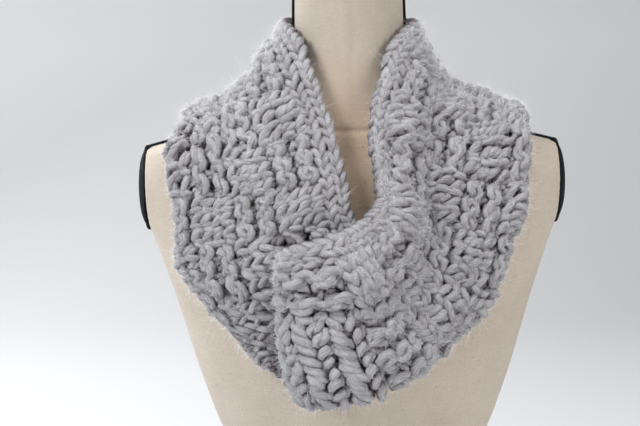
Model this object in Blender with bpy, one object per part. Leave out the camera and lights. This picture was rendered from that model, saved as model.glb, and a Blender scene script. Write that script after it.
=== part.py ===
"""A chunky knitted infinity scarf, hung round the neck of a linen dress form.

The scarf is one closed loop of basket weave, worked out from a table of sections, one at each edge between
two columns of blocks. The form is a loft through level sections. Front is -Y, up is +Z, and the form stands
on z = 0. Both tables are measured from the form's own middle, and the whole stands SET_BACK behind the
origin, so that the origin lies under the middle of all that is built.
"""

from collections import namedtuple
from math import cos, pi, sin

import bmesh
import bpy
import numpy as np

MILLIMETRE = 0.001
SET_BACK = 0.0277

# The dress form
FORM_SIDES = 44
RINGS_IN_LEVEL = 2
FORM_TOP = 0.700
NECK_EDGE = 0.012
ARM_CUT = 0.184
GAP = 0.0003

# The armhole caps and the piping
CAP_HEIGHT = 0.074
CAP_DEPTH = 0.066
CAP_BULGE = 0.010
CAP_CENTRE_Y = 0.003
CAP_CENTRE_Z = 0.507
PIPING_RADIUS = 0.0013
PIPING_OFF = 0.0023
PIPING_Y = 0.004
PIPING_FOOT = 0.544
PIPING_RISE = 0.138
PIPING_POINTS = 14

# The knitting
ROWS_IN_BLOCK = 4
BAND_ROWS = 2
BLOCK_ROWS = 3
HEM_ROWS = 2
ROWS = BAND_ROWS + BLOCK_ROWS * ROWS_IN_BLOCK + HEM_ROWS
CLOTH_INSIDE = 0.0046
CLOTH_OUTSIDE = 0.0040
PILLOW = 0.0032
RIDGE = 0.0026
REST = 0.0052
OVER_PIPING = 0.0040
PIPING_REACH = 0.022
TURN = 0.0060
SIDESTEP = 0.125
STEPS_IN_ROW = 2
INSIDE_ROWS = [0, 2.5, 5, 7.5, 10, 12, 14, 15, 16]
SEAM = 0.009

LINEN = (0.66, 0.58, 0.48)
BLACK = (0.012, 0.012, 0.013)
GREY_WOOL = (0.47, 0.47, 0.49)

Level = namedtuple("Level", "z half_width front back squareness")
FORM_LEVELS = [
    Level(0.000, 0.160, 0.104, 0.108, 2.2),
    Level(0.060, 0.163, 0.106, 0.112, 2.2),
    Level(0.120, 0.147, 0.100, 0.102, 2.2),
    Level(0.170, 0.122, 0.090, 0.086, 2.2),
    Level(0.215, 0.110, 0.084, 0.074, 2.2),
    Level(0.260, 0.116, 0.090, 0.072, 2.2),
    Level(0.300, 0.130, 0.104, 0.078, 2.2),
    Level(0.340, 0.143, 0.120, 0.084, 2.2),
    Level(0.375, 0.153, 0.127, 0.090, 2.2),
    Level(0.410, 0.163, 0.122, 0.095, 2.3),
    Level(0.450, 0.176, 0.108, 0.098, 2.4),
    Level(0.490, 0.190, 0.094, 0.098, 2.5),
    Level(0.520, 0.196, 0.080, 0.093, 2.6),
    Level(0.540, 0.190, 0.069, 0.086, 2.6),
    Level(0.550, 0.160, 0.065, 0.081, 2.5),
    Level(0.562, 0.130, 0.060, 0.076, 2.4),
    Level(0.575, 0.101, 0.056, 0.068, 2.2),
    Level(0.588, 0.078, 0.053, 0.060, 2.1),
    Level(0.602, 0.062, 0.051, 0.055, 2.0),
    Level(0.620, 0.053, 0.049, 0.052, 2.0),
    Level(0.650, 0.049, 0.047, 0.050, 2.0),
    Level(0.700, 0.048, 0.046, 0.048, 2.0),
]

# Sections of the loop, in millimetres: the column of blocks that each one starts, its neck edge, its middle
# and its hem, how far the cloth beside the neck edge rolls out over a crease, and how much turns under at
# the hem. The order runs from the back of the neck over the left shoulder. The cloth doubles back between
# columns 9.1 and 9.4, and again between 10.84 and 11.16.
COLUMNS = 22
Section = namedtuple("Section", "column place neck middle hem roll tuck")
SECTIONS = [
    Section(0, "back", (-10, 60, 656), (-2, 94, 594), (0, 114, 520), 0, 8),
    Section(1, "back, left", (-44, 44, 656), (-44, 82, 600), (-46, 112, 526), 0, 8),
    Section(2, "neck, left", (-57, 6, 653), (-71, 46, 606), (-92, 100, 536), 0, 8),
    Section(3, "shoulder, left", (-47, -34, 641), (-90, 0, 602), (-130, 68, 556), 0, 8),
    Section(4, "shoulder, left", (-35, -54, 606), (-86, -44, 584), (-140, 28, 567), 0, 8),
    Section(5, "collar bone, left", (-23, -69, 571), (-83, -78, 547), (-142, -24, 557), 0, 8),
    Section(6, "chest, left", (-11, -94, 525), (-77, -98, 511), (-143, -66, 506), 0, 8),
    Section(7, "chest, left", (-3, -111, 490), (-76, -109, 474), (-143, -80, 466), 0, 8),
    Section(8, "bust, left", (18, -116, 462), (-64, -124, 428), (-130, -92, 430), 0, 8),
    Section(9.1, "inner turn", (28, -118, 442), (-8, -131, 394), (-88, -117, 386), 0, 8),
    Section(9.4, "inner turn", (26, -128, 443), (-8, -141, 396), (-78, -122, 378), 0, 8),
    Section(10, "under the fold", (0, -134, 450), (-24, -143, 402), (-61, -130, 366), 0, 8),
    Section(10.84, "fold's edge", (-58, -137, 464), (-56, -146, 407), (-52, -144, 356), 2, 6),
    Section(11.16, "fold's edge", (-58, -148, 468), (-57, -158, 407), (-46, -158, 355), 4, 10),
    Section(12, "front of the fold", (-22, -153, 479), (4, -167, 408), (21, -160, 360), 6, 24),
    Section(13, "end of the fold", (3, -146, 490), (36, -152, 407), (73, -132, 391), 8, 12),
    Section(14, "bust, right", (18, -126, 505), (63, -123, 449), (112, -106, 429), 12, 8),
    Section(15, "chest, right", (18, -106, 530), (69, -108, 487), (127, -94, 470), 14, 8),
    Section(16, "chest, right", (16, -84, 560), (73, -91, 527), (139, -73, 511), 12, 8),
    Section(17, "collar bone, right", (24, -62, 597), (77, -66, 568), (143, -38, 551), 8, 8),
    Section(18, "shoulder, right", (36, -44, 632), (81, -32, 590), (141, 10, 565), 4, 8),
    Section(19, "shoulder, right", (54, -12, 650), (81, 12, 601), (127, 54, 560), 0, 8),
    Section(20, "neck, right", (55, 25, 653), (72, 52, 606), (98, 94, 540), 0, 8),
    Section(21, "back, right", (30, 54, 656), (43, 86, 600), (52, 112, 524), 0, 8),
]

# Each stretch of the loop is a solid of its own, from one section's number to another's.
# Its steps in a block are finer where the cloth doubles back.
Stretch = namedtuple("Stretch", "first last steps")
STRETCHES = {
    "scarf_back": Stretch(-3, 3, 4),
    "scarf_left_front": Stretch(3, 8.5, 4),
    "scarf_under_fold": Stretch(8.5, 11, 8),
    "scarf_front_fold": Stretch(11, 13, 8),
    "scarf_right_front": Stretch(13, 19, 4),
}


def clear_scene():
    for thing in list(bpy.data.objects):
        bpy.data.objects.remove(thing, do_unlink=True)


def material(name, colour, roughness):
    made = bpy.data.materials.new(name)
    made.use_nodes = True
    shader = made.node_tree.nodes["Principled BSDF"]
    shader.inputs["Base Color"].default_value = (*colour, 1.0)
    shader.inputs["Roughness"].default_value = roughness
    shader.inputs["Metallic"].default_value = 0.0
    return made


def add_object(name, data, collection, finish):
    made = bpy.data.objects.new(name, data)
    made.location.y = SET_BACK
    data.materials.append(finish)
    collection.objects.link(made)
    return made


def mesh_from(name, points, faces):
    mesh = bpy.data.meshes.new(name)
    mesh.from_pydata([tuple(point) for point in points], [], faces)
    bm = bmesh.new()
    bm.from_mesh(mesh)
    bmesh.ops.recalc_face_normals(bm, faces=bm.faces)
    bm.to_mesh(mesh)
    bm.free()
    mesh.shade_smooth()
    return mesh


def form_section(z):
    """Half width, front, back and squareness of the form at each height, never past the levels' own."""
    levels = np.array(FORM_LEVELS)
    heights = levels[:, 0]
    step = np.diff(heights)[:, None]
    rise = np.diff(levels[:, 1:], axis=0) / step
    slope = np.zeros_like(levels[:, 1:])
    same_way = rise[1:] * rise[:-1] > 0
    total = np.where(same_way, rise[1:] + rise[:-1], 1.0)
    slope[1:-1] = np.where(same_way, 2 * rise[1:] * rise[:-1] / total, 0.0)
    at = np.clip(z, heights[0], heights[-1])
    k = np.clip(np.searchsorted(heights, at, side="right") - 1, 0, len(heights) - 2)
    width = step[k]
    t = ((at - heights[k]) / width[..., 0])[..., None]
    lower = levels[k, 1:]
    upper = levels[k + 1, 1:]
    curve = lower * (1 + 2 * t) * (1 - t) ** 2 + upper * t**2 * (3 - 2 * t)
    curve += slope[k] * width * t * (1 - t) ** 2 - slope[k + 1] * width * t**2 * (1 - t)
    return np.moveaxis(curve, -1, 0)


def form_ring(z, shrink):
    """One level ring of the form, drawn in by shrink and cut flat where the arms would be."""
    half_width, front, back, squareness = form_section(np.array(z))
    ring = []
    for side in range(FORM_SIDES):
        turn = 2 * pi * (side + 0.5) / FORM_SIDES
        across = abs(cos(turn)) ** (2 / squareness) * (half_width - shrink)
        deep = abs(sin(turn)) ** (2 / squareness) * ((back if sin(turn) > 0 else front) - shrink)
        x = min(across, ARM_CUT) * (1 if cos(turn) > 0 else -1)
        ring.append((x, deep * (1 if sin(turn) > 0 else -1), z))
    return ring


def form_torso(collection, linen):
    rings = []
    for level, above in zip(FORM_LEVELS[:-1], FORM_LEVELS[1:]):
        for step in range(RINGS_IN_LEVEL):
            rings.append(form_ring(level.z + (above.z - level.z) * step / RINGS_IN_LEVEL, 0.0))
    for turn in (0.0, 0.25, 0.5, 0.75):
        drop = NECK_EDGE * (1 - sin(turn * pi / 2))
        rings.append(form_ring(FORM_TOP - drop, NECK_EDGE * (1 - cos(turn * pi / 2))))
    rings.append(form_ring(FORM_TOP, NECK_EDGE))
    points = [point for ring in rings for point in ring]
    faces = []
    for row in range(len(rings) - 1):
        for side in range(FORM_SIDES):
            after = (side + 1) % FORM_SIDES
            low, high = row * FORM_SIDES, (row + 1) * FORM_SIDES
            faces.append((low + side, low + after, high + after, high + side))
    faces.append(tuple(reversed(range(FORM_SIDES))))
    faces.append(tuple(range(len(points) - FORM_SIDES, len(points))))
    add_object("form_torso", mesh_from("form_torso", points, faces), collection, linen)


def armhole_cap(name, way, collection, braid):
    """A shallow black dome over the flat cut of the arm."""
    sides = 28
    rings = [(1.0, 0.0), (1.03, 0.30), (0.97, 0.66), (0.74, 0.90), (0.36, 0.985)]
    points = []
    for spread, lift in rings:
        for side in range(sides):
            turn = 2 * pi * side / sides
            y = CAP_CENTRE_Y + spread * CAP_DEPTH / 2 * cos(turn)
            z = CAP_CENTRE_Z + spread * CAP_HEIGHT / 2 * sin(turn)
            points.append((way * (ARM_CUT + GAP + lift * CAP_BULGE), y, z))
    points.append((way * (ARM_CUT + GAP + CAP_BULGE), CAP_CENTRE_Y, CAP_CENTRE_Z))
    faces = [tuple(range(sides))]
    for row in range(len(rings) - 1):
        for side in range(sides):
            after = (side + 1) % sides
            low, high = row * sides, (row + 1) * sides
            faces.append((low + side, low + after, high + after, high + side))
    last = (len(rings) - 1) * sides
    faces += [(last + side, last + (side + 1) % sides, len(points) - 1) for side in range(sides)]
    add_object(name, mesh_from(name, points, faces), collection, braid)


def piping(name, way, collection, braid):
    """A thin cord from the armhole over the shoulder and up the side of the neck."""
    heights = [PIPING_FOOT + PIPING_RISE * step**2 for step in np.linspace(0, 1, PIPING_POINTS)]
    curve = bpy.data.curves.new(name, "CURVE")
    curve.dimensions = "3D"
    curve.bevel_depth = PIPING_RADIUS
    curve.bevel_resolution = 1
    curve.use_fill_caps = True
    spline = curve.splines.new("POLY")
    spline.points.add(len(heights) - 1)
    for point, z in zip(spline.points, heights):
        beside = np.array([way * (form_section(np.array(z))[0] + PIPING_RADIUS), PIPING_Y, z])
        point.co = (*lift_off_form(beside, PIPING_OFF), 1.0)
    add_object(name, curve, collection, braid)


def outside(points):
    """Zero on the form's skin, more outside it."""
    half_width, front, back, squareness = form_section(points[..., 2])
    across = np.abs(points[..., 0]) / half_width
    deep = np.abs(points[..., 1]) / np.where(points[..., 1] < 0, front, back)
    return (across**squareness + deep**squareness) ** (1 / squareness) - 1


def off_the_form(points):
    """The way straight out from the form at each point, and how far out the point is."""
    small = 1e-4
    slopes = []
    for axis in range(3):
        nudge = np.zeros(3)
        nudge[axis] = small
        slopes.append((outside(points + nudge) - outside(points - nudge)) / (2 * small))
    slope = np.stack(slopes, axis=-1)
    steep = np.linalg.norm(slope, axis=-1, keepdims=True)
    return slope / steep, outside(points)[..., None] / steep


def lift_off_form(points, least):
    """Points that lie nearer to the form than least are moved straight out from it."""
    for _ in range(4):
        way, height = off_the_form(points)
        points = points + way * np.maximum(least - height, 0.0)
    return points


def around_loop(places, knots, u):
    """The smooth closed curve through the knots, which lie at the given places round the loop."""
    count = len(knots)
    span = np.diff(np.append(places, places[0] + COLUMNS))
    rise = (np.roll(knots, -1, axis=0) - knots) / span[:, None]
    bend = np.zeros((count, count))
    for k in range(count):
        bend[k, k - 1] = span[k - 1]
        bend[k, k] = 2 * (span[k - 1] + span[k])
        bend[k, (k + 1) % count] = span[k]
    curve = np.linalg.solve(bend, 6 * (rise - np.roll(rise, 1, axis=0)))
    at = u % COLUMNS
    k = np.searchsorted(places, at, side="right") - 1
    after = (k + 1) % count
    width = span[k, None]
    t = (at - places[k])[:, None] / width
    line = knots[k] * (1 - t) + knots[after] * t
    return line + width**2 / 6 * (curve[k] * ((1 - t) ** 3 - (1 - t)) + curve[after] * (t**3 - t))


def cloth_middle(columns, rows):
    """The middle of the cloth on a grid: columns count blocks, rows run from 0 to 1, neck edge to hem."""
    knots = np.array([[*s.neck, *s.middle, *s.hem, s.roll, s.tuck] for s in SECTIONS]) * MILLIMETRE
    places = np.array([s.column for s in SECTIONS])
    found = around_loop(places, knots, columns)[:, None]
    neck, middle, hem, roll, tuck = np.split(found, [3, 6, 9, 10], axis=-1)
    t = np.linspace(0, 1, 61)[:, None]
    flat = neck * (1 - t) * (1 - 2 * t) + middle * 4 * t * (1 - t) + hem * t * (2 * t - 1)
    crest = np.exp(-(((t - 0.20) / 0.11) ** 2)) - 0.55 * np.exp(-(((t - 0.40) / 0.08) ** 2))
    flat = flat + off_the_form(flat)[0] * roll * crest
    depth = TURN * (1 - np.cos(np.minimum(tuck / TURN, pi)))
    over_piping = OVER_PIPING * np.exp(-(((flat[..., 1:2] - PIPING_Y) / PIPING_REACH) ** 2))
    flat = lift_off_form(flat, REST + over_piping + depth * t**3)
    end = flat[:, -1:] - flat[:, -2:-1]
    end = end / np.linalg.norm(end, axis=-1, keepdims=True)
    inward = -off_the_form(flat[:, -1:])[0]
    inward = inward - end * (inward * end).sum(-1, keepdims=True)
    inward = inward / np.linalg.norm(inward, axis=-1, keepdims=True)
    run = np.linspace(0, 1, 25)[1:, None] * tuck
    turn = np.minimum(run / TURN, pi)
    back = run - turn * TURN
    under = flat[:, -1:] + end * (TURN * np.sin(turn) - back) + inward * TURN * (1 - np.cos(turn))
    line = np.concatenate([flat, under], axis=1)
    pieces = np.linalg.norm(np.diff(line, axis=1), axis=-1)
    length = np.concatenate([0 * tuck[..., 0], np.cumsum(pieces, axis=1)], axis=1)
    even = []
    for k in range(len(columns)):
        even.append([np.interp(rows * length[k, -1], length[k], line[k, :, axis]) for axis in range(3)])
    return np.array(even).transpose(0, 2, 1)


def relief(u, v):
    """How far the knitting stands out: pillows of plain stitches against ridges of purl."""
    row = v * ROWS
    in_band = (row < BAND_ROWS) | (row > ROWS - HEM_ROWS)
    column = np.floor(u)
    tier = np.floor((row - BAND_ROWS) / ROWS_IN_BLOCK)
    is_plain = ((column + tier) % 2 == 0) & ~in_band
    across = u - column
    down = (row - BAND_ROWS) / ROWS_IN_BLOCK - tier
    pillow = PILLOW * np.sqrt(np.maximum(np.sin(pi * across) * np.sin(pi * down), 0.0))
    ridges = RIDGE * (0.5 - 0.5 * np.cos(pi * (row - BAND_ROWS)))
    covered = ((u > 8.4) & (u < 11.0)) | ((u >= 11.0) & (u < 13.0) & (row > ROWS - HEM_ROWS - 1))
    return np.where(covered, 0.0, np.where(is_plain, pillow, ridges))


def pressed(u, v):
    """The share of its thickness that the cloth keeps: less under the fold and in the turn of the hem."""
    under_fold = 1 - 0.4 * np.clip(2 - np.abs(u - 10.0), 0, 1)
    in_hem = 1 - 0.45 * np.clip((v - 0.82) / 0.10, 0, 1)
    return under_fold * in_hem


def outward(columns, rows):
    """The cloth's outward direction at each point of a grid of its middle."""
    along = cloth_middle(columns + SIDESTEP, rows) - cloth_middle(columns - SIDESTEP, rows)
    down = np.gradient(cloth_middle(columns, rows), axis=1)
    normal = np.cross(down, along)
    return normal / np.linalg.norm(normal, axis=-1, keepdims=True)


def zip_faces(first, second):
    """Triangles between two open lines of point numbers that start and end side by side."""
    faces = []
    i = j = 0
    while i < len(first) - 1 or j < len(second) - 1:
        ahead = (i + 1) / (len(first) - 1) <= (j + 1) / (len(second) - 1)
        if j == len(second) - 1 or (ahead and i < len(first) - 1):
            faces.append((first[i], first[i + 1], second[j]))
            i += 1
        else:
            faces.append((first[i], second[j + 1], second[j]))
            j += 1
    return faces


def stretch(name, part, collection, wool):
    """One stretch of the loop: a wall with the knitting raised on its outside and a plain inside."""
    columns = round((part.last - part.first) * part.steps) + 1
    fine = ROWS * STEPS_IN_ROW + 1
    around = np.linspace(part.first + SEAM, part.last - SEAM, columns)
    down = np.linspace(0, 1, fine)
    u, v = np.meshgrid(around, down, indexing="ij")
    middle = cloth_middle(around, down)
    normal = outward(around, down)
    outer = middle + normal * (pressed(u, v) * CLOTH_OUTSIDE + relief(u, v))[..., None]
    keep = [round(row * STEPS_IN_ROW) for row in INSIDE_ROWS]
    inner = (middle - normal * (pressed(u, v) * CLOTH_INSIDE)[..., None])[:, keep]
    coarse = len(keep)
    points = np.concatenate([outer.reshape(-1, 3), inner.reshape(-1, 3)])
    base = columns * fine

    def outer_at(i, j):
        return i * fine + j

    def inner_at(i, j):
        return base + i * coarse + j

    faces = []
    for i in range(columns - 1):
        for j in range(fine - 1):
            faces.append((outer_at(i, j), outer_at(i, j + 1), outer_at(i + 1, j + 1), outer_at(i + 1, j)))
        for j in range(coarse - 1):
            faces.append((inner_at(i, j), inner_at(i + 1, j), inner_at(i + 1, j + 1), inner_at(i, j + 1)))
        faces.append((outer_at(i, 0), outer_at(i + 1, 0), inner_at(i + 1, 0), inner_at(i, 0)))
        end, foot = fine - 1, coarse - 1
        faces.append((outer_at(i, end), inner_at(i, foot), inner_at(i + 1, foot), outer_at(i + 1, end)))
    for i in (0, columns - 1):
        outer_line = [outer_at(i, j) for j in range(fine)]
        inner_line = [inner_at(i, j) for j in range(coarse)]
        faces += zip_faces(outer_line, inner_line)
    add_object(name, mesh_from(name, points, faces), collection, wool)


def main():
    clear_scene()
    collection = bpy.data.collections.new("infinity_scarf")
    bpy.context.scene.collection.children.link(collection)
    linen = material("linen", LINEN, 0.85)
    braid = material("black_braid", BLACK, 0.6)
    wool = material("grey_wool", GREY_WOOL, 0.95)
    form_torso(collection, linen)
    for side, way in (("left", -1), ("right", 1)):
        armhole_cap(f"form_armhole_{side}", way, collection, braid)
        piping(f"form_piping_{side}", way, collection, braid)
    for name, part in STRETCHES.items():
        stretch(name, part, collection, wool)


main()
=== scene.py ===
"""An infinity scarf of chunky basket weave, hung round the neck of a linen dress form.

Everything is built in the form's own measure, with the form's middle at y = 0, and set back to where the
packed form stands.
"""

from collections import namedtuple
from math import cos, pi, radians, sin

import bpy
import numpy as np
from mathutils import Matrix, Vector


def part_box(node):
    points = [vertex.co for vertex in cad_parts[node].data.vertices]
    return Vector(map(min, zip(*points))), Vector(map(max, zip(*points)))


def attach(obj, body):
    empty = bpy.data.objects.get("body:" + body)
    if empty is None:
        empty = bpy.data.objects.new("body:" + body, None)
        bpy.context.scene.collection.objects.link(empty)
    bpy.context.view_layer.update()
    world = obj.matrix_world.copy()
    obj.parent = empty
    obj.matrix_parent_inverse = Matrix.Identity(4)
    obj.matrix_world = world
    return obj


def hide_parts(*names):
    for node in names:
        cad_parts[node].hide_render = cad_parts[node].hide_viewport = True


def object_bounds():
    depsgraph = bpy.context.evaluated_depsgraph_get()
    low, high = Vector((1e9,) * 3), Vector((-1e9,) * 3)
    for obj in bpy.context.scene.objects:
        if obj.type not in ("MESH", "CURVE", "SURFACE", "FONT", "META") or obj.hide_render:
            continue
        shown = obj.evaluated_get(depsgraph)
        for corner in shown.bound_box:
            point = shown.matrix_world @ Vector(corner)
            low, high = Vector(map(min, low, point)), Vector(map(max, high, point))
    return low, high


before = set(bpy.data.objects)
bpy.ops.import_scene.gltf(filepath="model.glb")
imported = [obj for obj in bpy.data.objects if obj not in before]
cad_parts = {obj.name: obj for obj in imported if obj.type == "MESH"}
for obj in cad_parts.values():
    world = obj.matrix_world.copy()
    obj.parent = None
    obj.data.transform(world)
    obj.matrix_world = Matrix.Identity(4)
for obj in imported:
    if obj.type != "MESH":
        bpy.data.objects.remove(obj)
cad_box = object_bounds()


# -----------------------------------------------------------------------------
# The floor and the wall behind it: one sheet of card that curves up behind the form, as in a studio. It is
# pale above and greyer toward the floor, where the grey is painted shade.
# -----------------------------------------------------------------------------

CARD_HALF_WIDTH = 6.0
CARD_FRONT = -4.0
CARD_BACK = 3.2
CARD_BEND = 1.6
CARD_BEND_POINTS = 25
CARD_TOP = 5.0
CARD_PALE = (0.85, 0.855, 0.865)
CARD_SHADE_GREY = (0.69, 0.695, 0.71)
CARD_PALE_FROM = 0.6


class Shade:
    """A value or colour in a material's nodes. Sums on a value add Math nodes."""

    def __init__(self, tree, socket=None):
        self.tree = tree
        self.socket = socket

    def node(self, kind, settings=None, values=None, out=0):
        """A new node: its settings are set first, then the numbers or links of its sockets."""
        made = self.tree.nodes.new("ShaderNode" + kind)
        for name, value in (settings or {}).items():
            if name == "stops":
                while len(made.color_ramp.elements) < len(value):
                    made.color_ramp.elements.new(0.5)
                for element, (place, shade) in zip(made.color_ramp.elements, value):
                    element.position = place
                    element.color = (shade, shade, shade, 1.0)
            else:
                setattr(made, name, value)
        for name, value in (values or {}).items():
            if isinstance(value, Shade):
                self.tree.links.new(value.socket, made.inputs[name])
            else:
                made.inputs[name].default_value = value
        return Shade(self.tree, made.outputs[out])

    def maths(self, operation, first, second=0.0):
        return self.node("Math", {"operation": operation}, {0: first, 1: second})

    def __add__(self, other):
        return self.maths("ADD", self, other)

    __radd__ = __add__

    def __sub__(self, other):
        return self.maths("SUBTRACT", self, other)

    def __rsub__(self, other):
        return self.maths("SUBTRACT", other, self)

    def __mul__(self, other):
        return self.maths("MULTIPLY", self, other)

    __rmul__ = __mul__

    def cosine(self):
        return self.maths("COSINE", self)

    def sine(self):
        return self.maths("SINE", self)

    def ramp(self, *stops):
        return self.node("ValToRGB", {"stops": stops}, {"Fac": self})

    def between(self, low, high):
        """A colour that goes from low to high as this value goes from 0 to 1."""
        ends = [end if isinstance(end, Shade) else (*end, 1.0) for end in (low, high)]
        return self.node("Mix", {"data_type": "RGBA"}, {0: self, 6: ends[0], 7: ends[1]}, out=2)

    def place(self, x, y, z):
        return self.node("CombineXYZ", None, {"X": x, "Y": y, "Z": z})

    def apart(self):
        """The x, y and z of this vector."""
        split = self.node("SeparateXYZ", None, {0: self})
        return [Shade(self.tree, out) for out in split.socket.node.outputs]

    def on_object(self):
        """Where the point lies on its object, in metres."""
        return self.node("TexCoord", out=3)

    def on_thread(self):
        """The coordinates that mesh_object gives to the corners."""
        return self.node("UVMap", {"uv_map": "Thread"})

    def noise(self, at, scale, detail=3.0, roughness=0.5):
        values = {"Vector": at, "Scale": scale, "Detail": detail, "Roughness": roughness}
        return self.node("TexNoise", None, values)

    def bump(self, height, depth):
        """A Bump node that raises the surface by up to depth metres."""
        return self.node("Bump", None, {"Strength": 1.0, "Distance": depth, "Height": height})


def material(name, **fixed):
    """A new material, the Shade that adds nodes to it, and its Principled shader."""
    made = bpy.data.materials.new(name)
    made.use_nodes = True
    shader = made.node_tree.nodes["Principled BSDF"]
    for socket, value in fixed.items():
        shader.inputs[socket.replace("_", " ")].default_value = value
    return made, Shade(made.node_tree), shader


def link(shade, shader, socket):
    shade.tree.links.new(shade.socket, shader.inputs[socket])


def mesh_object(name, points, quads, finish, corners=None, heights=None):
    """A smooth mesh of quads. corners gives two coordinates to each corner of each quad, and heights gives
    a value to each point."""
    mesh = bpy.data.meshes.new(name)
    points = np.asarray(points, np.float32).reshape(-1, 3)
    quads = np.asarray(quads, np.int32).reshape(-1, 4)
    mesh.vertices.add(len(points))
    mesh.vertices.foreach_set("co", points.ravel())
    mesh.loops.add(quads.size)
    mesh.loops.foreach_set("vertex_index", quads.ravel())
    mesh.polygons.add(len(quads))
    mesh.polygons.foreach_set("loop_start", np.arange(0, quads.size, 4, dtype=np.int32))
    if corners is not None:
        layer = mesh.uv_layers.new(name="Thread")
        layer.uv.foreach_set("vector", np.asarray(corners, np.float32).ravel())
    if heights is not None:
        layer = mesh.attributes.new("height", "FLOAT", "POINT")
        layer.data.foreach_set("value", np.asarray(heights, np.float32).ravel())
    mesh.update(calc_edges=True)
    mesh.validate()
    mesh.shade_smooth()
    mesh.materials.append(finish)
    made = bpy.data.objects.new(name, mesh)
    bpy.context.scene.collection.objects.link(made)
    return made


def grid_quads(rows, columns, closed_rows=False, closed_columns=False):
    """The quads of a grid of points, row by row, facing the way that rows x columns gives."""
    quad_rows = rows if closed_rows else rows - 1
    quad_columns = columns if closed_columns else columns - 1
    i, j = np.meshgrid(np.arange(quad_rows), np.arange(quad_columns), indexing="ij")
    here = i * columns
    after = (i + 1) % rows * columns
    after_j = (j + 1) % columns
    return np.stack([here + j, after + j, after + after_j, here + after_j], axis=-1)


pale_card, shade, shader = material("pale_card", Roughness=0.9)
height = shade.on_object().apart()[2]
# Painted shade: the card is coloured greyer toward the floor.
graded = (height * (1 / CARD_PALE_FROM)).ramp((0.0, 0.0), (1.0, 1.0))
link(graded.between(CARD_SHADE_GREY, CARD_PALE), shader, "Base Color")
profile = [(CARD_FRONT, 0.0)]
for turn in np.linspace(0, pi / 2, CARD_BEND_POINTS):
    bend_y = CARD_BACK - CARD_BEND + CARD_BEND * sin(turn)
    profile.append((bend_y, CARD_BEND - CARD_BEND * cos(turn)))
profile.append((CARD_BACK, CARD_TOP))
card_points = [[(x, y, z) for x in (-CARD_HALF_WIDTH, CARD_HALF_WIDTH)] for y, z in profile]
card = mesh_object("card", card_points, grid_quads(len(profile), 2)[..., ::-1], pale_card)


# -----------------------------------------------------------------------------
# The dress form: a hard limbless body, cut off flat under the hips, covered in stretched slubbed linen that
# is joined in a seam round the foot of the neck and down each side.
# -----------------------------------------------------------------------------

ARM_CUT = 0.184
FORM_TOP = 0.700
NECK_EDGE = 0.012
NECK_EDGE_RINGS = 9
NECK_SEAM_Z = 0.560
NECK_SEAM_RISE = 0.032
NECK_SEAM_DIP = 0.006
NECK_SEAM_SPREAD = 0.045
NECK_SEAM_WIDTH = 0.0030
SIDE_SEAM_WIDTH = 0.0013
SIDE_SEAM_TOP = 0.47
SEAM_DEPTH = 0.0010
BASE_EDGE = 0.0015
FORM_COLUMNS = 220
GIRTH_RING = 70
LINEN_PALE = (0.64, 0.562, 0.474)
LINEN_SHADED = (0.475, 0.40, 0.325)
LINEN_SLUB = (0.16, 0.10, 0.06)
# The colour, place and share of the painted warm shade round the foot of the neck.
LINEN_NECK_SHADE = (0.56, 0.36, 0.21)
NECK_SHADE_FROM = 0.44
NECK_SHADE_HEIGHT = 0.20
NECK_SHADE_FADE = 150.0
NECK_SHADE_SHARE = 0.5
THREAD = 0.0009
THREAD_WAVER = 0.0012
SLUB_ACROSS = 620.0
SLUB_ALONG = 40.0
SPECK_ALONG = 480.0
SPECK_SHARE = 0.55

# Rings of the skin from the base up, as from, to and count, close together where the neck seam runs.
SKIN_RINGS = [(BASE_EDGE, 0.488, 82), (0.490, 0.545, 40), (0.5475, 0.5725, 46), (0.576, 0.688, 34)]

Level = namedtuple("Level", "z half_width front back squareness")
FORM_LEVELS = [
    Level(0.000, 0.160, 0.104, 0.108, 2.2),
    Level(0.060, 0.163, 0.106, 0.112, 2.2),
    Level(0.120, 0.147, 0.100, 0.102, 2.2),
    Level(0.170, 0.122, 0.090, 0.086, 2.2),
    Level(0.215, 0.110, 0.084, 0.074, 2.2),
    Level(0.260, 0.116, 0.090, 0.072, 2.2),
    Level(0.300, 0.130, 0.104, 0.078, 2.2),
    Level(0.340, 0.143, 0.120, 0.084, 2.2),
    Level(0.375, 0.153, 0.127, 0.090, 2.2),
    Level(0.410, 0.163, 0.122, 0.095, 2.3),
    Level(0.450, 0.176, 0.108, 0.098, 2.4),
    Level(0.490, 0.190, 0.094, 0.098, 2.5),
    Level(0.520, 0.196, 0.080, 0.093, 2.6),
    Level(0.540, 0.190, 0.069, 0.086, 2.6),
    Level(0.550, 0.160, 0.065, 0.081, 2.5),
    Level(0.562, 0.130, 0.060, 0.076, 2.4),
    Level(0.575, 0.101, 0.056, 0.068, 2.2),
    Level(0.588, 0.078, 0.053, 0.060, 2.1),
    Level(0.602, 0.062, 0.051, 0.055, 2.0),
    Level(0.620, 0.053, 0.049, 0.052, 2.0),
    Level(0.650, 0.049, 0.047, 0.050, 2.0),
    Level(0.700, 0.048, 0.046, 0.048, 2.0),
]


def form_section(z):
    """Half width, front, back and squareness of the form at each height, never past the levels' own."""
    levels = np.array(FORM_LEVELS)
    heights = levels[:, 0]
    step = np.diff(heights)[:, None]
    rise = np.diff(levels[:, 1:], axis=0) / step
    slope = np.zeros_like(levels[:, 1:])
    same_way = rise[1:] * rise[:-1] > 0
    total = np.where(same_way, rise[1:] + rise[:-1], 1.0)
    slope[1:-1] = np.where(same_way, 2 * rise[1:] * rise[:-1] / total, 0.0)
    at = np.clip(z, heights[0], heights[-1])
    k = np.clip(np.searchsorted(heights, at, side="right") - 1, 0, len(heights) - 2)
    width = step[k]
    t = ((at - heights[k]) / width[..., 0])[..., None]
    lower = levels[k, 1:]
    upper = levels[k + 1, 1:]
    curve = lower * (1 + 2 * t) * (1 - t) ** 2 + upper * t**2 * (3 - 2 * t)
    curve += slope[k] * width * t * (1 - t) ** 2 - slope[k + 1] * width * t**2 * (1 - t)
    return np.moveaxis(curve, -1, 0)


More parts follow.
